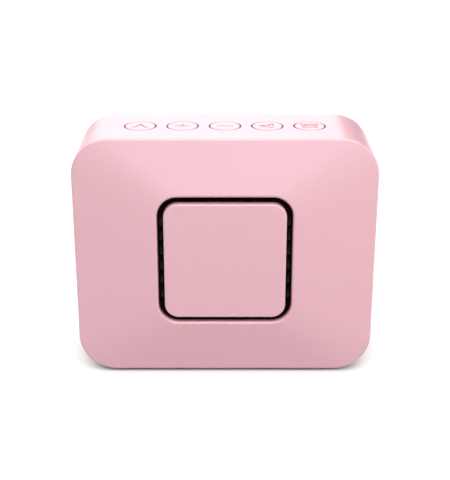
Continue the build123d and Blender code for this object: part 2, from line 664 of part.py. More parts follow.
with BuildPart() as tact_switches:
    for x in BUTTON_X:
        half = SWITCH_SIZE / 2
        block((x - half, BUTTON_Y - half, KEY_BOARD_TOP_Z), (x + half, BUTTON_Y + half, SWITCH_TOP_Z))
        well_floor_z = PLUNGER_LOW_Z - BUTTON_TRAVEL - 0.1
        post(PLUNGER_R + PLUNGER_GAP, well_floor_z, SWITCH_TOP_Z, x, BUTTON_Y, Mode.SUBTRACT)
tact_switches.part.label = "tact_switches"
export_step(tact_switches.part, "parts/tact_switches.step")


def key_deck(z_low, z_high):
    """Flat deck under the keys, with room for the four bosses that come down through it."""
    with BuildSketch(level_plane(z_low, 0, BUTTON_Y)) as deck:
        RectangleRounded(*KEY_DECK, KEY_DECK_R)
        with GridLocations(2 * KEY_SCREW_X, 2 * KEY_SCREW_Y, 2, 2):
            Circle(KEY_BOSS_R + 0.2, mode=Mode.SUBTRACT)
    extrude(deck.sketch, amount=z_high - z_low)


with BuildPart() as keypad_membrane:
    key_deck(BRACKET_TOP_Z, SHEET_TOP_Z)
    for x in BUTTON_X:
        post(COLLAR_R, SHEET_TOP_Z, CAVITY_TOP_Z, x, BUTTON_Y)
        post(COLLAR_IN_R, SHEET_TOP_Z, CAVITY_TOP_Z, x, BUTTON_Y, Mode.SUBTRACT)
        post(COLLAR_IN_R, BRACKET_TOP_Z, BRACKET_TOP_Z + SHEET_T / 2, x, BUTTON_Y, Mode.SUBTRACT)
        post(PAD_R, BRACKET_TOP_Z, PAD_TOP_Z, x, BUTTON_Y)
        post(NUB_R, PLUNGER_TOP_Z, BRACKET_TOP_Z, x, BUTTON_Y)
keypad_membrane.part.label = "keypad_membrane"
export_step(keypad_membrane.part, "parts/keypad_membrane.step")

with BuildPart() as button_bracket:
    key_deck(KEY_BOARD_TOP_Z, BRACKET_TOP_Z)
    for x in BUTTON_X:
        half = SWITCH_SIZE / 2 + SWITCH_GAP
        block((x - half, BUTTON_Y - half, KEY_BOARD_TOP_Z), (x + half, BUTTON_Y + half, BRACKET_TOP_Z),
              Mode.SUBTRACT)
button_bracket.part.label = "button_bracket"
export_step(button_bracket.part, "parts/button_bracket.step")

with BuildPart() as button_board:
    with BuildSketch(level_plane(KEY_BOARD_Z, 0, BUTTON_Y)) as board_outline:
        RectangleRounded(*KEY_DECK, KEY_DECK_R / 2)
        with GridLocations(2 * KEY_SCREW_X, 2 * KEY_SCREW_Y, 2, 2):
            Circle(SCREW_CLEAR_R, mode=Mode.SUBTRACT)
    extrude(amount=BOARD_T)
button_board.part.label = "button_board"
export_step(button_board.part, "parts/button_board.step")

RIBBON_X = 26.6
RIBBON_W = 6.0
RIBBON_T = 0.3
RIBBON_BEND_R = 1.8
SOCKET_W = 7.6
SOCKET_T = 1.2
SOCKET_HALF_H = 1.7
UPPER_SOCKET_Y = (4.6, 7.9)
UPPER_RIBBON_Z = KEY_BOARD_Z - SOCKET_T / 2
LOWER_RIBBON_Z = 55.5
SOCKET_BACK_Y = MAIN_BOARD_BACK_Y + SOCKET_T
RIBBON_LOOP_Y = 11.2

with BuildPart() as ribbon_sockets:
    low_x = RIBBON_X - SOCKET_W / 2
    high_x = RIBBON_X + SOCKET_W / 2
    block((low_x, UPPER_SOCKET_Y[0], KEY_BOARD_Z - SOCKET_T), (high_x, UPPER_SOCKET_Y[1], KEY_BOARD_Z))
    block((low_x, MAIN_BOARD_BACK_Y, LOWER_RIBBON_Z - SOCKET_HALF_H),
          (high_x, SOCKET_BACK_Y, LOWER_RIBBON_Z + SOCKET_HALF_H))
ribbon_sockets.part.label = "ribbon_sockets"
export_step(ribbon_sockets.part, "parts/ribbon_sockets.step")

with BuildPart() as ribbon_cable:
    ribbon_side = Plane(origin=(RIBBON_X, 0, 0), x_dir=(0, 1, 0), z_dir=(1, 0, 0))
    with BuildSketch(ribbon_side) as ribbon_section:
        with BuildLine():
            FilletPolyline((UPPER_SOCKET_Y[1], UPPER_RIBBON_Z), (RIBBON_LOOP_Y, UPPER_RIBBON_Z),
                           (RIBBON_LOOP_Y, LOWER_RIBBON_Z), (SOCKET_BACK_Y, LOWER_RIBBON_Z),
                           radius=RIBBON_BEND_R)
        trace(line_width=RIBBON_T)
    extrude(amount=RIBBON_W / 2, both=True)
ribbon_cable.part.label = "ribbon_cable"
export_step(ribbon_cable.part, "parts/ribbon_cable.step")


# ---------------------------------------------------------------- main board
# Places on the board are offsets from its row of chips and from the body's middle height.
CHIP_T = 0.9
CHIP_X = 29.2
WIRELESS_CHIP = 7.0
WIRELESS_DZ = 8.0
AMPLIFIER_CHIP = 5.0
AMPLIFIER_DZ = -3.0
COIL_SIZE = 4.0
COIL_T = 2.0
COIL_DX = 7.5
CAPACITOR = (1.6, 0.8)
CAPACITOR_T = 0.8
CAPACITOR_PITCH = (3.0, 2.2)
CAPACITOR_ROWS = (4, 3)
CAPACITOR_DX = 2.0
CAPACITOR_DZ = -11.0

with BuildPart() as main_board:
    block((MAIN_BOARD_X[0], MAIN_BOARD_Y, MID_Z - MAIN_BOARD_HALF_H),
          (MAIN_BOARD_X[1], MAIN_BOARD_BACK_Y, MID_Z + MAIN_BOARD_HALF_H))
    for sz in (-1, 1):
        rod(SCREW_CLEAR_R, MAIN_BOARD_BACK_Y, MAIN_BOARD_Y, MAIN_SCREW_X, MID_Z + sz * MAIN_SCREW_Z,
            Mode.SUBTRACT)
main_board.part.label = "main_board"
export_step(main_board.part, "parts/main_board.step")


def chip(x, z, size, height):
    """Square package on the front face of the main board."""
    block((x - size / 2, MAIN_BOARD_Y - height, z - size / 2), (x + size / 2, MAIN_BOARD_Y, z + size / 2))


with BuildPart() as wireless_chip:
    chip(CHIP_X, MID_Z + WIRELESS_DZ, WIRELESS_CHIP, CHIP_T)
wireless_chip.part.label = "wireless_chip"
export_step(wireless_chip.part, "parts/wireless_chip.step")

with BuildPart() as amplifier_chip:
    chip(CHIP_X, MID_Z + AMPLIFIER_DZ, AMPLIFIER_CHIP, CHIP_T)
amplifier_chip.part.label = "amplifier_chip"
export_step(amplifier_chip.part, "parts/amplifier_chip.step")

with BuildPart() as passive_components:
    chip(CHIP_X + COIL_DX, MID_Z + AMPLIFIER_DZ, COIL_SIZE, COIL_T)
    with BuildSketch(face_plane(MAIN_BOARD_Y, CHIP_X + CAPACITOR_DX, MID_Z + CAPACITOR_DZ)) as capacitors:
        with GridLocations(*CAPACITOR_PITCH, *CAPACITOR_ROWS):
            Rectangle(*CAPACITOR)
    extrude(amount=CAPACITOR_T)
passive_components.part.label = "passive_components"
export_step(passive_components.part, "parts/passive_components.step")

USB_SHELL = (8.94, 3.26)
USB_INSIDE = (8.34, 2.56)
USB_MOUTH_Y = 13.0
USB_BASE_T = 0.5
TONGUE = (6.7, 0.7)
TONGUE_END_Y = 12.0
with BuildPart() as usb_shell:
    with BuildSketch(face_plane(USB_MOUTH_Y, PORT_X, PORT_Z)) as shell_outline:
        SlotOverall(*USB_SHELL)
    extrude(amount=USB_MOUTH_Y - MAIN_BOARD_BACK_Y)
    with BuildSketch(face_plane(USB_MOUTH_Y, PORT_X, PORT_Z)) as shell_inside:
        SlotOverall(*USB_INSIDE)
    extrude(amount=USB_MOUTH_Y - MAIN_BOARD_BACK_Y - USB_BASE_T, mode=Mode.SUBTRACT)
usb_shell.part.label = "usb_shell"
export_step(usb_shell.part, "parts/usb_shell.step")

with BuildPart() as usb_tongue:
    with BuildSketch(face_plane(TONGUE_END_Y, PORT_X, PORT_Z)) as tongue:
        Rectangle(*TONGUE)
    extrude(amount=TONGUE_END_Y - MAIN_BOARD_BACK_Y - USB_BASE_T)
usb_tongue.part.label = "usb_tongue"
export_step(usb_tongue.part, "parts/usb_tongue.step")

HEADER_X = (24.0, 28.6)
HEADER_BACK_Y = MAIN_BOARD_BACK_Y + 4.0
BATTERY_HEADER_Z = 17.0
SPEAKER_HEADER_Z = 45.2
HEADER_HALF_H = 1.8
with BuildPart() as lead_headers:
    for z in (BATTERY_HEADER_Z, SPEAKER_HEADER_Z):
        block((HEADER_X[0], MAIN_BOARD_BACK_Y, z - HEADER_HALF_H),
              (HEADER_X[1], HEADER_BACK_Y, z + HEADER_HALF_H))
lead_headers.part.label = "lead_headers"
export_step(lead_headers.part, "parts/lead_headers.step")

MIC_R = 2.0
BOOT_T = 0.7
MIC_BACK_Y = MAIN_BOARD_BACK_Y + 1.5
with BuildPart() as microphone:
    rod(MIC_R, MIC_BACK_Y, MAIN_BOARD_BACK_Y, MIC_X, SIGNAL_Z)
microphone.part.label = "microphone"
export_step(microphone.part, "parts/microphone.step")

with BuildPart() as mic_boot:
    rod(MIC_R + BOOT_T, COVER_IN_Y, MAIN_BOARD_BACK_Y, MIC_X, SIGNAL_Z)
    rod(MIC_R, MIC_BACK_Y, MAIN_BOARD_BACK_Y, MIC_X, SIGNAL_Z, Mode.SUBTRACT)
    rod(MIC_HOLE_R + 0.2, COVER_IN_Y, MIC_BACK_Y, MIC_X, SIGNAL_Z, Mode.SUBTRACT)
mic_boot.part.label = "mic_boot"
export_step(mic_boot.part, "parts/mic_boot.step")

LED_BACK_Y = MAIN_BOARD_BACK_Y + 0.6
LED_HALF_W = 0.8
LED_HALF_H = 0.4
COLLAR_T = 0.8
COLLAR_RIM = 0.6
with BuildPart() as status_led:
    block((LED_X - LED_HALF_W, MAIN_BOARD_BACK_Y, SIGNAL_Z - LED_HALF_H),
          (LED_X + LED_HALF_W, LED_BACK_Y, SIGNAL_Z + LED_HALF_H))
status_led.part.label = "status_led"
export_step(status_led.part, "parts/status_led.step")

with BuildPart() as light_pipe:
    rod(LIGHT_PIPE_R, REAR_Y - 0.1, LED_BACK_Y + 0.2, LED_X, SIGNAL_Z)
    rod(LIGHT_PIPE_R + COLLAR_RIM, COVER_IN_Y, COVER_IN_Y - COLLAR_T, LED_X, SIGNAL_Z)
light_pipe.part.label = "light_pipe"
export_step(light_pipe.part, "parts/light_pipe.step")


# ---------------------------------------------------------------- battery
CELL_R = 9.2
CELL_LENGTH = 49.2
CELL_X = -31.4
CELL_Y = 2.6
CELL_LOW_Z = MID_Z - CELL_LENGTH / 2
CELL_HIGH_Z = MID_Z + CELL_LENGTH / 2
CELL_FILLET = 0.6
CELL_CAP_R = 3.0
CELL_CAP_H = 0.8
CELL_GAP = 0.05
CRADLE_HALF_H = 12.0
CRADLE_IN_X = -24.4
CRADLE_Y = (-8.9, 0.0)
FOAM_HALF_W = 5.0
FOAM_HALF_H = 18.0
FOAM_FRONT_Y = 10.4

with BuildPart() as battery_cell:
    post(CELL_R, CELL_LOW_Z, CELL_HIGH_Z - CELL_CAP_H, CELL_X, CELL_Y)
    fillet(battery_cell.edges().filter_by(GeomType.CIRCLE), CELL_FILLET)
    post(CELL_CAP_R, CELL_HIGH_Z - CELL_CAP_H, CELL_HIGH_Z, CELL_X, CELL_Y)
battery_cell.part.label = "battery_cell"
export_step(battery_cell.part, "parts/battery_cell.step")

with BuildPart() as battery_cradle:
    block((-CAVITY_W / 2, CRADLE_Y[0], MID_Z - CRADLE_HALF_H),
          (CRADLE_IN_X, CRADLE_Y[1], MID_Z + CRADLE_HALF_H))
    post(CELL_R + CELL_GAP, MID_Z - CRADLE_HALF_H, MID_Z + CRADLE_HALF_H, CELL_X, CELL_Y,
         Mode.SUBTRACT)
battery_cradle.part.label = "battery_cradle"
export_step(battery_cradle.part, "parts/battery_cradle.step")

with BuildPart() as battery_foam:
    block((CELL_X - FOAM_HALF_W, FOAM_FRONT_Y, MID_Z - FOAM_HALF_H),
          (CELL_X + FOAM_HALF_W, COVER_IN_Y, MID_Z + FOAM_HALF_H))
    post(CELL_R, MID_Z - FOAM_HALF_H, MID_Z + FOAM_HALF_H, CELL_X, CELL_Y, Mode.SUBTRACT)
battery_foam.part.label = "battery_foam"
export_step(battery_foam.part, "parts/battery_foam.step")

GUARD_Z = (CELL_LOW_Z - 1.0, CELL_LOW_Z)
GUARD_X = (-34.0, -22.5)
GUARD_Y = (CELL_Y - 2.5, CELL_Y + 5.5)
with BuildPart() as protection_board:
    block((GUARD_X[0], GUARD_Y[0], GUARD_Z[0]), (GUARD_X[1], GUARD_Y[1], GUARD_Z[1]))
protection_board.part.label = "protection_board"
export_step(protection_board.part, "parts/protection_board.step")


# ---------------------------------------------------------------- leads
def lead(points):
    """Insulated round lead: straight runs joined by arcs as large as the runs allow."""
    corners = [Vector(*point) for point in points]
    radii = []
    for before, corner, after in zip(corners, corners[1:], corners[2:]):
        turn = (corner - before).get_angle(after - corner)
        shorter_run = min((corner - before).length, (after - corner).length)
        radii.append(0.45 * shorter_run / tan(radians(turn) / 2))
    with BuildLine() as route:
        FilletPolyline(*corners, radius=radii)
    path = route.wires()[0]
    with BuildSketch(Plane(origin=path @ 0, z_dir=path % 0)) as section:
        Circle(LEAD_R)
    sweep(section.sketch, path=path)


def shifted(points, step):
    """The same route, moved sideways."""
    return [tuple(a + b for a, b in zip(point, step)) for point in points]


# The routes run clear of the driver's magnet, in the space along the bottom wall and beside the board.
BATTERY_ROUTE = [
    (GUARD_X[1], 3.4, GUARD_Z[0] + 0.5),
    (-15.5, 3.4, GUARD_Z[0] + 0.5),
    (-6.5, 7.2, 8.6),
    (5.0, 8.8, 8.2),
    (14.0, 8.0, 12.0),
    (19.0, 7.0, BATTERY_HEADER_Z),
    (HEADER_X[0], 7.0, BATTERY_HEADER_Z),
]
with BuildPart() as battery_lead_red:
    lead(BATTERY_ROUTE)
battery_lead_red.part.label = "battery_lead_red"
export_step(battery_lead_red.part, "parts/battery_lead_red.step")

with BuildPart() as battery_lead_black:
    lead(shifted(BATTERY_ROUTE, (0, 1.5, 0)))
battery_lead_black.part.label = "battery_lead_black"
export_step(battery_lead_black.part, "parts/battery_lead_black.step")

LEAD_START_X = 19.4
with BuildPart() as speaker_lead_red:
    lead([
        (LEAD_START_X, TAG_BACK_Y, MID_Z + TERMINAL_Z),
        (LEAD_START_X, 4.8, MID_Z + TERMINAL_Z),
        (19.8, 7.2, 42.8),
        (21.4, 7.2, SPEAKER_HEADER_Z),
        (HEADER_X[0], 7.2, SPEAKER_HEADER_Z),
    ])
speaker_lead_red.part.label = "speaker_lead_red"
export_step(speaker_lead_red.part, "parts/speaker_lead_red.step")

with BuildPart() as speaker_lead_black:
    lead([
        (LEAD_START_X, TAG_BACK_Y, MID_Z - TERMINAL_Z),
        (LEAD_START_X, 5.6, MID_Z - TERMINAL_Z),
        (19.8, 8.8, 40.2),
        (21.0, 8.8, SPEAKER_HEADER_Z),
        (HEADER_X[0], 8.8, SPEAKER_HEADER_Z),
    ])
speaker_lead_black.part.label = "speaker_lead_black"
export_step(speaker_lead_black.part, "parts/speaker_lead_black.step")


# ---------------------------------------------------------------- port flap and feet
POCKET_FLOOR_Y = REAR_Y - POCKET_DEPTH
FLAP_BACK_Y = REAR_Y - 0.1
PLUG = (7.4, 1.7)
PLUG_Y = 12.45
FLAP_FILLET = 0.3
FLAP_MIDDLE_Z = FLAP_LOW_Z + FLAP_H / 2 + 0.1
ANCHOR_RIM = 0.6
ANCHOR_HEAD_T = 0.8

with BuildPart() as port_flap:
    slab(FLAP_W, FLAP_H, FLAP_R, FLAP_BACK_Y, POCKET_FLOOR_Y, PORT_X, FLAP_MIDDLE_Z)
    fillet(port_flap.edges().group_by(Axis.Y)[-1], FLAP_FILLET)
    with BuildSketch(face_plane(POCKET_FLOOR_Y, PORT_X, PORT_Z)) as plug:
        SlotOverall(*PLUG)
    extrude(plug.sketch, amount=POCKET_FLOOR_Y - PLUG_Y)
port_flap.part.label = "port_flap"
export_step(port_flap.part, "parts/port_flap.step")

with BuildPart() as flap_anchor:
    slab(TAB_W, TAB_H, TAB_R, FLAP_BACK_Y, POCKET_FLOOR_Y, PORT_X, ANCHOR_Z)
    fillet(flap_anchor.edges().group_by(Axis.Y)[-1], FLAP_FILLET)
    head_front_y = COVER_IN_Y - ANCHOR_HEAD_T
    rod(ANCHOR_R, POCKET_FLOOR_Y, head_front_y, PORT_X, ANCHOR_Z)
    rod(ANCHOR_R + ANCHOR_RIM, COVER_IN_Y, head_front_y, PORT_X, ANCHOR_Z)
flap_anchor.part.label = "flap_anchor"
export_step(flap_anchor.part, "parts/flap_anchor.step")

for side, x in (("left", -FOOT_X), ("right", FOOT_X)):
    for end, y in zip(("front", "rear"), FOOT_Y):
        with BuildPart() as foot:
            post(FOOT_R, 0, FOOT_PROUD + FOOT_SUNK, x, y)
            fillet(foot.edges().group_by(Axis.Z)[0], FOOT_FILLET)
        foot.part.label = f"foot_{end}_{side}"
        export_step(foot.part, f"parts/foot_{end}_{side}.step")
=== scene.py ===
import json
import math

import bmesh
import bpy
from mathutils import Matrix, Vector
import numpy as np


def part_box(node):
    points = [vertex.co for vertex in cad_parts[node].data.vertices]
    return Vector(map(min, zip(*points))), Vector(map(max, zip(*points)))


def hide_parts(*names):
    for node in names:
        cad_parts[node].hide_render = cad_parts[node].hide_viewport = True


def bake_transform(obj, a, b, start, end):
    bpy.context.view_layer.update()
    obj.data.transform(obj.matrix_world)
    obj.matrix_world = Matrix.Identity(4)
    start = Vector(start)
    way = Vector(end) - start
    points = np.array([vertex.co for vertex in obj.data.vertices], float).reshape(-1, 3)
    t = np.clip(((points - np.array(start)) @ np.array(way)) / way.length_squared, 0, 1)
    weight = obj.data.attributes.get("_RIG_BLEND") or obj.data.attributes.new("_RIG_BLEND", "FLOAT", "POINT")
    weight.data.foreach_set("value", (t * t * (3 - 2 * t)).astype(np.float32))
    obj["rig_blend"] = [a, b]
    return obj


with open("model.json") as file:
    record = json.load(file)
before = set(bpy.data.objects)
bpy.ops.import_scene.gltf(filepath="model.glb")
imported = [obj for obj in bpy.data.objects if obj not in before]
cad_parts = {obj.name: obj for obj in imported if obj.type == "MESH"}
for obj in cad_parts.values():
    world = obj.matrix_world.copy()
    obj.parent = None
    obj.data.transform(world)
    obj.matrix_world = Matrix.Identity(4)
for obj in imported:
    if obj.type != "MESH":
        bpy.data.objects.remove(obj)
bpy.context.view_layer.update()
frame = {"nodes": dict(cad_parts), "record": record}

MM = 0.001

# ---------------------------------------------------------------- places, worked out from the frame
HOUSING_LOW, HOUSING_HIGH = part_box("front_housing")
FLAP_LOW, FLAP_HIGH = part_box("port_flap")
ANCHOR_LOW, ANCHOR_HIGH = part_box("flap_anchor")
MIDDLE_Z = (HOUSING_LOW.z + HOUSING_HIGH.z) / 2
TOP_Z = HOUSING_HIGH.z
BEVEL_RISE = 2.0 * MM
RIM_Y = HOUSING_LOW.y + BEVEL_RISE

# ---------------------------------------------------------------- camera
CAMERA_PITCH = math.radians(21.8)
CAMERA_DISTANCE = 0.3149
CAMERA_LENS = 81.09
SENSOR_WIDTH = 36
NEAREST_SEEN = 0.01
AIM_ABOVE_MIDDLE = 5.95 * MM


def add_camera():
    """Camera above and in front, aimed at the front rim a little above the middle."""
    aim = Vector((0, RIM_Y, MIDDLE_Z + AIM_ABOVE_MIDDLE))
    back = Vector((0, -math.cos(CAMERA_PITCH), math.sin(CAMERA_PITCH)))
    data = bpy.data.cameras.new("camera")
    data.lens = CAMERA_LENS
    data.sensor_width = SENSOR_WIDTH
    data.clip_start = NEAREST_SEEN
    camera = bpy.data.objects.new("camera", data)
    camera.location = aim + CAMERA_DISTANCE * back
    camera.rotation_euler = (math.pi / 2 - CAMERA_PITCH, 0, 0)
    bpy.context.scene.collection.objects.link(camera)
    bpy.context.scene.camera = camera


# ---------------------------------------------------------------- light and floor
def add_area_light(name, place, aim, size, power):
    """Soft rectangular light that points at a place on the object or the floor."""
    data = bpy.data.lights.new(name, "AREA")
    data.shape = "RECTANGLE"
    data.size, data.size_y = size
    data.energy = power
    light = bpy.data.objects.new(name, data)
    light.location = place
    light.rotation_euler = (Vector(aim) - Vector(place)).to_track_quat("-Z", "Y").to_euler()
    bpy.context.scene.collection.objects.link(light)


# Each light: name, place, aim, size and power.
LIGHTS = [
    ("ceiling", (0.0, 0.0, 2.6), (0.0, 0.0, 0.0), (6.0, 6.0), 160.0),
    ("backdrop", (0.15, 1.10, 0.80), (0.15, 1.10, 0.0), (1.4, 0.6), 2.5),
    ("key", (0.05, -0.15, 0.66), (0.0, 0.0, MIDDLE_Z), (0.4, 0.16), 0.2),
    ("mid", (0.0, -0.50, 0.55), (0.0, 0.0, MIDDLE_Z), (0.4, 0.3), 2.2),
    ("front", (0.10, -0.80, 0.10), (0.0, 0.0, MIDDLE_Z), (0.6, 0.2), 0.95),
    ("low", (0.04, -0.60, 0.03), (0.0, 0.0, MIDDLE_Z), (0.6, 0.06), 0.3),
    ("right", (0.7, -0.2, 0.25), (0.0, 0.0, MIDDLE_Z), (0.4, 0.4), 1.9),
    ("left_rear", (-0.75, 0.25, 0.3), (0.0, 0.0, MIDDLE_Z), (0.4, 0.4), 1.4),
    ("back", (-0.2, 0.9, 0.35), (0.0, 0.0, MIDDLE_Z), (0.8, 0.5), 1.7),
]
WORLD_STRENGTH = 0.15
BACKDROP_STRENGTH = 1.0
FLOOR_REACH = 0.8
FLOOR_TONE = 0.88
FLOOR_ROUGHNESS = 0.8


def add_lights():
    """The area lights, and an even glow from all round; what the camera sees of it is plain white."""
    for name, place, aim, size, power in LIGHTS:
        add_area_light(name, place, aim, size, power)
    world = bpy.data.worlds.new("studio")
    world.use_nodes = True
    background = world.node_tree.nodes["Background"]
    background.inputs["Color"].default_value = (1, 1, 1, 1)
    seen = world.node_tree.nodes.new("ShaderNodeLightPath")
    strength = world.node_tree.nodes.new("ShaderNodeMapRange")
    strength.inputs["To Min"].default_value = WORLD_STRENGTH
    strength.inputs["To Max"].default_value = BACKDROP_STRENGTH
    world.node_tree.links.new(seen.outputs["Is Camera Ray"], strength.inputs["Value"])
    world.node_tree.links.new(strength.outputs["Result"], background.inputs["Strength"])
    bpy.context.scene.world = world
    bpy.context.scene.view_settings.view_transform = "Standard"


def add_floor():
    """Pale square floor that gives the object no light from below."""
    mesh = bpy.data.meshes.new("floor")
    corners = [(x * FLOOR_REACH, y * FLOOR_REACH, 0) for x, y in ((-1, -1), (1, -1), (1, 1), (-1, 1))]
    mesh.from_pydata(corners, [], [(0, 1, 2, 3)])
    floor = bpy.data.objects.new("floor", mesh)
    material = bpy.data.materials.new("pale_floor")
    material.use_nodes = True
    shader = material.node_tree.nodes["Principled BSDF"]
    shader.inputs["Base Color"].default_value = (FLOOR_TONE, FLOOR_TONE, FLOOR_TONE, 1)
    shader.inputs["Roughness"].default_value = FLOOR_ROUGHNESS
    floor.data.materials.append(material)
    floor.visible_diffuse = False
    bpy.context.scene.collection.objects.link(floor)


# ---------------------------------------------------------------- materials
PINK = (0.752, 0.409, 0.467)
DEEP_PINK = (0.60, 0.235, 0.295)
NEAR_BLACK = (0.003, 0.002, 0.002)
MESH_BLACK = (0.02, 0.02, 0.02)
PAD_GOLD = (0.75, 0.62, 0.38)
CONDUCTOR = (0.66, 0.6, 0.5)
COAT_IOR = 1.6
ACRYLIC_IOR = 1.49
# keys turn deep pink below these heights: ink in the engraved icons, and painted shade on the key sides in the
# ring gap
INK_AND_SHADE_TOP = TOP_Z - 0.01 * MM
INK_AND_SHADE_BOTTOM = TOP_Z - 0.03 * MM
# reach of the painted shade in seams and holes of the pink plastic
SEAM_SHADE_REACH = 1.6 * MM
# width of the lighter edges: partly rubbed wear, partly a painted edge highlight
WORN_AND_HIGHLIT_EDGE = 0.35 * MM


def tinted(colour, factor):
    return tuple(min(1.0, channel * factor) for channel in colour)


class Look:
    """One material under construction: a principled shader and short names for its nodes."""

    def __init__(self, name, roughness=0.5, metallic=0.0, coat=0.0, coat_roughness=0.3, sheen=0.0):
        self.material = bpy.data.materials.new(name)
        self.material.use_nodes = True
        self.tree = self.material.node_tree
        self.shader = self.tree.nodes["Principled BSDF"]
        self.place = self.add("ShaderNodeTexCoord").outputs["Object"]
        self.set("Roughness", roughness)
        self.set("Metallic", metallic)
        self.set("Coat Weight", coat)
        self.set("Coat Roughness", coat_roughness)
        self.set("Sheen Weight", sheen)

    def set(self, socket, value):
        self.shader.inputs[socket].default_value = value

    def add(self, kind, **settings):
        node = self.tree.nodes.new(kind)
        for key, value in settings.items():
            setattr(node, key, value)
        return node

    def link(self, source, target):
        self.tree.links.new(source, target)

    def feed(self, source, socket):
        self.link(source, self.shader.inputs[socket])

    def noise(self, scale, detail=2.0, roughness=0.5, place=None):
        node = self.add("ShaderNodeTexNoise")
        node.inputs["Scale"].default_value = scale
        node.inputs["Detail"].default_value = detail
        node.inputs["Roughness"].default_value = roughness
        self.link(place or self.place, node.inputs["Vector"])
        return node.outputs["Fac"]

    def cells(self, scale):
        node = self.add("ShaderNodeTexVoronoi")
        node.inputs["Scale"].default_value = scale
        self.link(self.place, node.inputs["Vector"])
        return node.outputs["Distance"]

    def waves(self, direction, scale, distortion=0.0):
        node = self.add("ShaderNodeTexWave", bands_direction=direction)
        node.inputs["Scale"].default_value = scale
        node.inputs["Distortion"].default_value = distortion
        self.link(self.place, node.inputs["Vector"])
        return node.outputs["Fac"]

    def coordinate(self, axis):
        node = self.add("ShaderNodeSeparateXYZ")
        self.link(self.place, node.inputs["Vector"])
        return node.outputs[axis]

    def stretched(self, x, y, z):
        """The object's coordinates, stretched along its axes."""
        node = self.add("ShaderNodeMapping")
        node.inputs["Scale"].default_value = (x, y, z)
        self.link(self.place, node.inputs["Vector"])
        return node.outputs["Vector"]

    def spread(self, value, low, high, start=0.0, end=1.0):
        """Map a value from start..end to low..high."""
        node = self.add("ShaderNodeMapRange")
        node.inputs["From Min"].default_value = start
        node.inputs["From Max"].default_value = end
        node.inputs["To Min"].default_value = low
        node.inputs["To Max"].default_value = high
        self.link(value, node.inputs["Value"])
        return node.outputs["Result"]

    def both(self, first, second, operation="MAXIMUM"):
        node = self.add("ShaderNodeMath", operation=operation)
        self.link(first, node.inputs[0])
        self.link(second, node.inputs[1])
        return node.outputs["Value"]

    def mix(self, factor, first, second):
        """Colour mix; each colour is a tuple or a socket."""
        node = self.add("ShaderNodeMix", data_type="RGBA")
        self.link(factor, node.inputs["Factor"])
        for value, socket in ((first, node.inputs[6]), (second, node.inputs[7])):
            if isinstance(value, tuple):
                socket.default_value = (*value, 1)
            else:
                self.link(value, socket)
        return node.outputs[2]

    def painted_crevice_shade(self, reach, low=0.25, high=0.8):
        """0 deep in a seam or hole, 1 in the open; the mask for painted shade in seams, holes and corners."""
        node = self.add("ShaderNodeAmbientOcclusion", samples=8)
        node.inputs["Distance"].default_value = reach
        return self.spread(node.outputs["AO"], 0, 1, low, high)

    def edge(self, radius):
        """1 on outer and inner edges, 0 on flats."""
        bevel = self.add("ShaderNodeBevel", samples=4)
        bevel.inputs["Radius"].default_value = radius
        flat = self.add("ShaderNodeNewGeometry").outputs["Normal"]
        turn = self.add("ShaderNodeVectorMath", operation="DOT_PRODUCT")
        self.link(bevel.outputs["Normal"], turn.inputs[0])
        self.link(flat, turn.inputs[1])
        return self.spread(turn.outputs["Value"], 1, 0, 0.8, 1.0)

    def bump(self, height, strength, distance):
        node = self.add("ShaderNodeBump")
        node.inputs["Strength"].default_value = strength
        node.inputs["Distance"].default_value = distance
        self.link(height, node.inputs["Height"])
        self.feed(node.outputs["Normal"], "Normal")


def pink_plastic(name, inked_and_side_shaded=False):
    """Satin moulded plastic: spark-eroded grain, faint flow marks, painted shade in the seams, edges lightened as
    partly rubbed wear and partly a painted highlight; on keys, ink in the engravings and painted shade on the
    sides below the top.
    """
    look = Look(name, coat=1.0, coat_roughness=0.3)
    look.set("Coat IOR", COAT_IOR)
    flow = look.mix(look.noise(38.0, 3.0), tinted(PINK, 0.985), tinted(PINK, 1.015))
    # edges lightened: partly rubbed wear, partly a painted edge highlight
    rubbed_and_highlit = look.both(look.edge(WORN_AND_HIGHLIT_EDGE), look.noise(900.0, 3.0), "MULTIPLY")
    tone = look.mix(rubbed_and_highlit, flow, tinted(PINK, 1.12))
    if inked_and_side_shaded:
        # darker below the key top: ink in the engraved icons, and painted shade on the key sides in the ring gap
        ink_and_side_shade = look.spread(look.coordinate("Z"), 1, 0, INK_AND_SHADE_BOTTOM, INK_AND_SHADE_TOP)
        tone = look.mix(ink_and_side_shade, tone, DEEP_PINK)
    # painted shade: seams, holes and gaps between parts darkened to a deeper pink
    look.feed(look.mix(look.painted_crevice_shade(SEAM_SHADE_REACH, 0.4, 0.92), tinted(DEEP_PINK, 0.8), tone), "Base Color")
    look.feed(look.spread(look.noise(140.0, 4.0, 0.6), 0.4, 0.47), "Roughness")
    look.bump(look.noise(5200.0), 0.22, 0.02 * MM)
    return look.material


def moulding(name, colour, roughness=0.5, grain=4200.0, coat=0.0, spread=0.12, strength=0.25, specular=0.5):
    """Plain moulded plastic or nylon: mottled tone, grain, painted shade in the corners."""
    look = Look(name, coat=coat)
    look.set("Specular IOR Level", specular)
    tone = look.mix(look.noise(260.0, 4.0), tinted(colour, 1 - spread), tinted(colour, 1 + spread))
    # painted shade: corners and crevices darkened
    look.feed(look.mix(look.painted_crevice_shade(1.0 * MM), tinted(colour, 0.6), tone), "Base Color")
    look.feed(look.spread(look.noise(420.0, 3.0), roughness - 0.05, roughness + 0.07), "Roughness")
    look.bump(look.noise(grain), strength, 0.02 * MM)
    return look.material


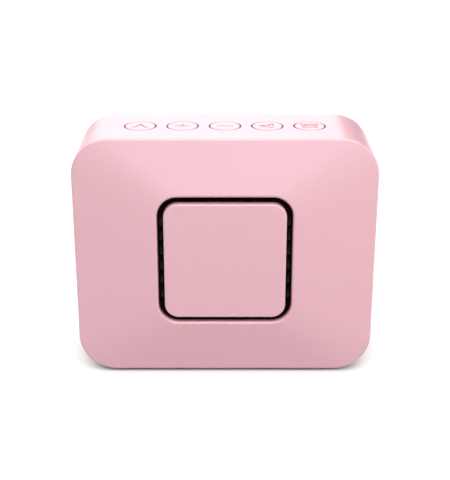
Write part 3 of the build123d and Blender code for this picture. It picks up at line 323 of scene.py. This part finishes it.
def rubber(name, colour, roughness=0.68, sheen=0.3):
    """Soft rubber or silicone: matt, with a bloom, fine orange peel and painted shade in the crevices."""
    look = Look(name, sheen=sheen)
    bloom = look.mix(look.noise(520.0, 5.0, 0.65), tinted(colour, 0.9), tinted(colour, 1.08))
    # painted shade: crevices and corners darkened
    look.feed(look.mix(look.painted_crevice_shade(1.2 * MM), tinted(colour, 0.55), bloom), "Base Color")
    look.feed(look.spread(look.noise(800.0, 3.0), roughness - 0.06, roughness + 0.08), "Roughness")
    look.bump(look.noise(3000.0, 3.0), 0.35, 0.03 * MM)
    return look.material


def foam(name, colour):
    """Open-cell foam: dark pores between paler walls."""
    look = Look(name, roughness=0.9)
    pores = look.cells(2600.0)
    walls = look.spread(pores, 0, 1, 0.1, 0.5)
    look.feed(look.mix(walls, tinted(colour, 0.4), tinted(colour, 1.6)), "Base Color")
    look.bump(pores, 0.8, 0.08 * MM)
    return look.material


def woven(name, colour, pitch, sheen=0.3):
    """Plain weave of round threads, seen square on to the sheet."""
    look = Look(name, roughness=0.75, sheen=sheen)
    threads = look.both(look.waves("X", 1 / pitch, 0.4), look.waves("Z", 1 / pitch, 0.4))
    look.feed(look.mix(threads, tinted(colour, 0.35), tinted(colour, 1.5)), "Base Color")
    look.bump(threads, 0.9, 0.06 * MM)
    return look.material


def pressed_paper(name, colour):
    """Pulp pressed into shape: matt, with short fibres."""
    look = Look(name, roughness=0.85, sheen=0.2)
    fibres = look.noise(1.0, 6.0, 0.7, look.stretched(900, 900, 2600))
    look.feed(look.mix(fibres, tinted(colour, 0.55), tinted(colour, 1.7)), "Base Color")
    look.bump(fibres, 0.6, 0.05 * MM)
    return look.material


def metal(name, colour, roughness=0.32, grain=(1400, 1400, 90), stain=0.5):
    """Plated or machined metal: fine scratches along one axis and dull stains."""
    look = Look(name, metallic=1.0)
    scratches = look.noise(1.0, 4.0, 0.6, look.stretched(*grain))
    dull = look.spread(look.noise(330.0, 5.0, 0.65), 0, 1, 0.45, 0.75)
    look.feed(look.mix(dull, tinted(colour, 1.05), tinted(colour, stain)), "Base Color")
    look.feed(look.spread(look.both(scratches, dull, "ADD"), roughness - 0.1, roughness + 0.18, 0.2, 1.6),
              "Roughness")
    look.bump(scratches, 0.3, 0.02 * MM)
    return look.material


def ferrite(name, colour):
    """Sintered magnet: dull and coarse-grained."""
    look = Look(name, roughness=0.62, metallic=0.3)
    grains = look.cells(1500.0)
    look.feed(look.mix(grains, tinted(colour, 0.6), tinted(colour, 1.7)), "Base Color")
    look.feed(look.spread(grains, 0.5, 0.75), "Roughness")
    look.bump(look.noise(2400.0, 5.0, 0.7), 0.5, 0.04 * MM)
    return look.material


def winding(name, colour):
    """Enamelled wire wound side by side along the driver's axis, on a paper former."""
    look = Look(name, roughness=0.3, metallic=0.8, coat=0.6)
    turns = look.waves("Y", 1400.0, 0.3)
    look.feed(look.mix(turns, tinted(colour, 0.4), tinted(colour, 1.2)), "Base Color")
    look.bump(turns, 0.8, 0.05 * MM)
    return look.material


def circuit_board(name, colour):
    """Solder mask over copper: raised tracks, a few bare pads, glass weave underneath."""
    look = Look(name, roughness=0.3, coat=0.4)
    tracks = look.both(look.waves("X", 260.0, 3.0), look.waves("Z", 190.0, 4.0))
    raised = look.spread(tracks, 0, 1, 0.93, 0.97)
    pads = look.spread(look.cells(420.0), 1, 0, 0.12, 0.15)
    mask = look.mix(raised, colour, tinted(colour, 2.1))
    look.feed(look.mix(pads, mask, PAD_GOLD), "Base Color")
    look.feed(look.spread(pads, 0.0, 0.9), "Metallic")
    look.bump(look.both(raised, look.noise(1600.0), "ADD"), 0.3, 0.03 * MM)
    return look.material


def ribbon_film(name, colour):
    """Flat cable: conductors side by side show through the white film."""
    look = Look(name, roughness=0.35, coat=0.5)
    conductors = look.spread(look.waves("X", 500.0), 0, 1, 0.55, 0.7)
    look.feed(look.mix(conductors, colour, CONDUCTOR), "Base Color")
    look.bump(conductors, 0.4, 0.03 * MM)
    return look.material


def shrink_wrap(name, colour):
    """Thin glossy film with long wrinkles along the cell."""
    look = Look(name, roughness=0.22, coat=0.8, coat_roughness=0.12)
    wrinkles = look.noise(1.0, 3.0, 0.5, look.stretched(700, 700, 60))
    look.feed(look.mix(wrinkles, tinted(colour, 0.8), tinted(colour, 1.2)), "Base Color")
    look.bump(wrinkles, 0.35, 0.06 * MM)
    return look.material


def clear_acrylic(name, tint):
    """Clear moulding with faint flow lines."""
    look = Look(name, roughness=0.12, coat=0.5, coat_roughness=0.05)
    streaks = look.noise(1.0, 2.0, 0.5, look.stretched(900, 160, 900))
    look.feed(look.mix(streaks, tinted(tint, 0.9), tint), "Base Color")
    look.feed(look.spread(streaks, 0.08, 0.22), "Roughness")
    look.set("Transmission Weight", 0.55)
    look.set("IOR", ACRYLIC_IOR)
    look.bump(streaks, 0.1, 0.02 * MM)
    return look.material


def paint_by_slot():
    """Give every CAD node the material of the slot that its record names."""
    colours = {row["slot"]: tuple(row["base_color"][:3]) for row in frame["record"]["materials"]}
    looks = {
        "housing": pink_plastic("housing"),
        "panel": pink_plastic("panel"),
        "keys": pink_plastic("keys", inked_and_side_shaded=True),
        "flap": rubber("flap", tinted(PINK, 0.94), 0.6),
        "feet": rubber("feet", tinted(PINK, 0.94), 0.62),
        "black_plastic": moulding("black_plastic", NEAR_BLACK, 0.9, specular=0.05),
        "mesh": woven("mesh", MESH_BLACK, 0.28 * MM),
        "silicone": rubber("silicone", colours["silicone"], 0.5, 0.2),
        "foam": foam("foam", colours["foam"]),
        "frame_steel": metal("frame_steel", colours["frame_steel"], 0.45, (500, 500, 500), 0.6),
        "rubber_roll": rubber("rubber_roll", colours["rubber_roll"], 0.55),
        "paper_cone": pressed_paper("paper_cone", colours["paper_cone"]),
        "spider_cloth": woven("spider_cloth", colours["spider_cloth"], 0.5 * MM, 0.1),
        "copper": winding("copper", colours["copper"]),
        "ferrite": ferrite("ferrite", colours["ferrite"]),
        "screws": metal("screws", colours["screws"], 0.3, (1100, 1100, 1100), 0.45),
        "tin": metal("tin", colours["tin"], 0.25, (1200, 120, 1200), 0.7),
        "circuit_board": circuit_board("circuit_board", colours["circuit_board"]),
        "chip": moulding("chip", colours["chip"], 0.55, 6000.0),
        "components": moulding("components", colours["components"], 0.4, 2600.0, 0.2, 0.3),
        "plunger": moulding("plunger", colours["plunger"], 0.42, 3600.0),
        "white_plastic": moulding("white_plastic", colours["white_plastic"], 0.45, 3600.0),
        "ribbon": ribbon_film("ribbon", colours["ribbon"]),
        "capsule": metal("capsule", colours["capsule"], 0.22, (150, 1500, 1500), 0.75),
        "lamp": clear_acrylic("lamp", colours["lamp"]),
        "light_guide": clear_acrylic("light_guide", colours["light_guide"]),
        "cell_wrap": shrink_wrap("cell_wrap", colours["cell_wrap"]),
        "red_lead": moulding("red_lead", colours["red_lead"], 0.32, 1800.0, 0.3, 0.1, 0.12),
        "black_lead": moulding("black_lead", colours["black_lead"], 0.32, 1800.0, 0.3, 0.3, 0.12),
    }
    slots = {row["node"]: row["material_slot"] for row in frame["record"]["subparts"]}
    for name, node in frame["nodes"].items():
        node.data.materials[0] = looks[slots[name]]
    return looks


# ---------------------------------------------------------------- hinge of the port flap
WEB_THICKNESS = 0.35 * MM
WEB_DEPTH = 0.3 * MM
WEB_SIDE = 0.8 * MM
WEB_HOLD = 0.3 * MM
WEB_STEPS = 12


def add_hinge_web(material):
    """Thin silicone strip that joins the flap to its anchor and folds as the flap opens."""
    left = ANCHOR_LOW.x + WEB_SIDE
    right = ANCHOR_HIGH.x - WEB_SIDE
    outer = FLAP_HIGH.y - WEB_DEPTH
    inner = outer - WEB_THICKNESS
    gap = FLAP_LOW.z - ANCHOR_HIGH.z
    folds = [ANCHOR_HIGH.z + gap * step / WEB_STEPS for step in range(WEB_STEPS + 1)]
    web = bmesh.new()
    rings = []
    for z in (folds[0] - WEB_HOLD, *folds, folds[-1] + WEB_HOLD):
        corners = ((left, inner), (right, inner), (right, outer), (left, outer))
        rings.append([web.verts.new((x, y, z)) for x, y in corners])
    for below, above in zip(rings, rings[1:]):
        for side in range(4):
            after = (side + 1) % 4
            web.faces.new((below[side], below[after], above[after], above[side]))
    web.faces.new(list(reversed(rings[0])))
    web.faces.new(rings[-1])
    bmesh.ops.recalc_face_normals(web, faces=web.faces)
    mesh = bpy.data.meshes.new("hinge_web")
    web.to_mesh(mesh)
    web.free()
    mesh.materials.append(material)
    piece = bpy.data.objects.new("hinge_web", mesh)
    bpy.context.scene.collection.objects.link(piece)
    middle = (left + right) / 2
    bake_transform(piece, "housing", "flap", start=(middle, outer, ANCHOR_HIGH.z), end=(middle, outer, FLAP_LOW.z))


# ---------------------------------------------------------------- soft rings of the driver
SURROUND_RIM = 0.9 * MM
SPIDER_RIM = 1.6 * MM
SPIDER_COLLAR = 0.6 * MM


def half_width(node):
    """Radius of a round CAD node whose axis runs along Y."""
    low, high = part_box(node)
    return (high.x - low.x) / 2


def add_flexing_ring(node, still_radius, moving_radius, material):
    """Ring that stands for a soft CAD node: its rim stays, and its bore moves with the cone.
    """
    low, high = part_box(node)
    axis = (low + high) / 2
    piece = bpy.data.objects.new(node + "_soft", frame["nodes"][node].data.copy())
    bpy.context.scene.collection.objects.link(piece)
    piece.data.materials.clear()
    piece.data.materials.append(material)
    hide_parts(node)
    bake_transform(piece, "housing", "driver_moving", start=(axis.x + still_radius, axis.y, axis.z),
             end=(axis.x + moving_radius, axis.y, axis.z))
    shares = piece.data.attributes["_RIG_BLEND"].data
    for vertex, share in zip(piece.data.vertices, shares):
        radius = math.hypot(vertex.co.x - axis.x, vertex.co.z - axis.z)
        part = min(1.0, max(0.0, (still_radius - radius) / (still_radius - moving_radius)))
        share.value = part * part * (3 - 2 * part)


def add_driver_rings(finishes):
    """The surround and the spider, which flex as the cone moves."""
    cone_radius = half_width("driver_cone")
    add_flexing_ring("driver_surround", half_width("driver_surround") - SURROUND_RIM, cone_radius,
                     finishes["rubber_roll"])
    coil_radius = half_width("voice_coil")
    add_flexing_ring("spider", half_width("spider") - SPIDER_RIM, coil_radius + SPIDER_COLLAR,
                     finishes["spider_cloth"])


add_camera()
add_lights()
add_floor()
finishes = paint_by_slot()
add_hinge_web(finishes["flap"])
add_driver_rings(finishes)
